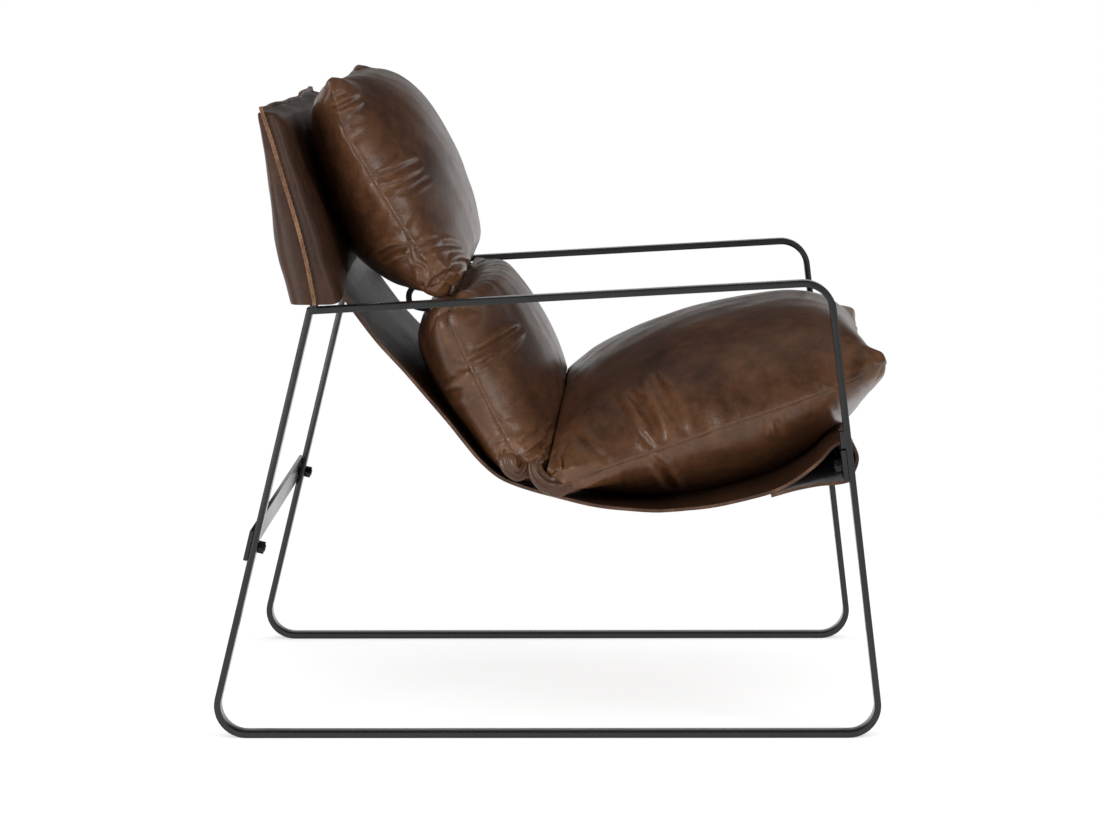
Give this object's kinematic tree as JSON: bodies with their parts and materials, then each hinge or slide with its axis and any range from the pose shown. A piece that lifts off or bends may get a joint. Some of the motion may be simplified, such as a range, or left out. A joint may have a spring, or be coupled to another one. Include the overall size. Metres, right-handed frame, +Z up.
{
  "type": "leather sling lounge chair",
  "caption": "Low lounge chair with a leather sling and loose leather cushions hung between bent flat-bar steel side frames with a leather back pocket.",
  "frame": {"origin": "centre of the chair's bounding box in plan, on the floor under the runners", "axes": "+Z up, -Y the way the sitter faces, +X to the sitter's left"},
  "size_m": [0.725, 0.8308, 0.8053],
  "materials": {
    "frame_steel": "black satin powder coat on flat bar",
    "black_hardware": "black oxide screws and nuts",
    "sling_leather": "dark brown thick leather, waxed, with pale raw edges",
    "cushion_leather": "dark brown pull-up leather with a soft sheen and fine grain",
    "elastic_cord": "black elastic cord"
  },
  "bodies": {
    "root": {"side_frame_left": "frame_steel", "side_frame_right": "frame_steel", "rear_brace": "frame_steel", "front_crossbar": "frame_steel", "back_top_bar": "frame_steel", "rear_screw_left": "black_hardware", "rear_nut_left": "black_hardware", "rear_screw_right": "black_hardware", "rear_nut_right": "black_hardware", "front_screw_left": "black_hardware", "front_nut_left": "black_hardware", "front_screw_right": "black_hardware", "front_nut_right": "black_hardware", "top_screw_left": "black_hardware", "top_screw_right": "black_hardware", "sling": "sling_leather", "pocket_front_panel": "sling_leather", "pocket_back_panel": "sling_leather", "headrest_cushion": "cushion_leather", "lumbar_cushion": "cushion_leather", "seat_cushion": "cushion_leather", "upper_fold": "cushion_leather", "lower_fold": "cushion_leather", "cushion_tie_left": "elastic_cord", "cushion_tie_right": "elastic_cord"}
  },
  "joints": []
}
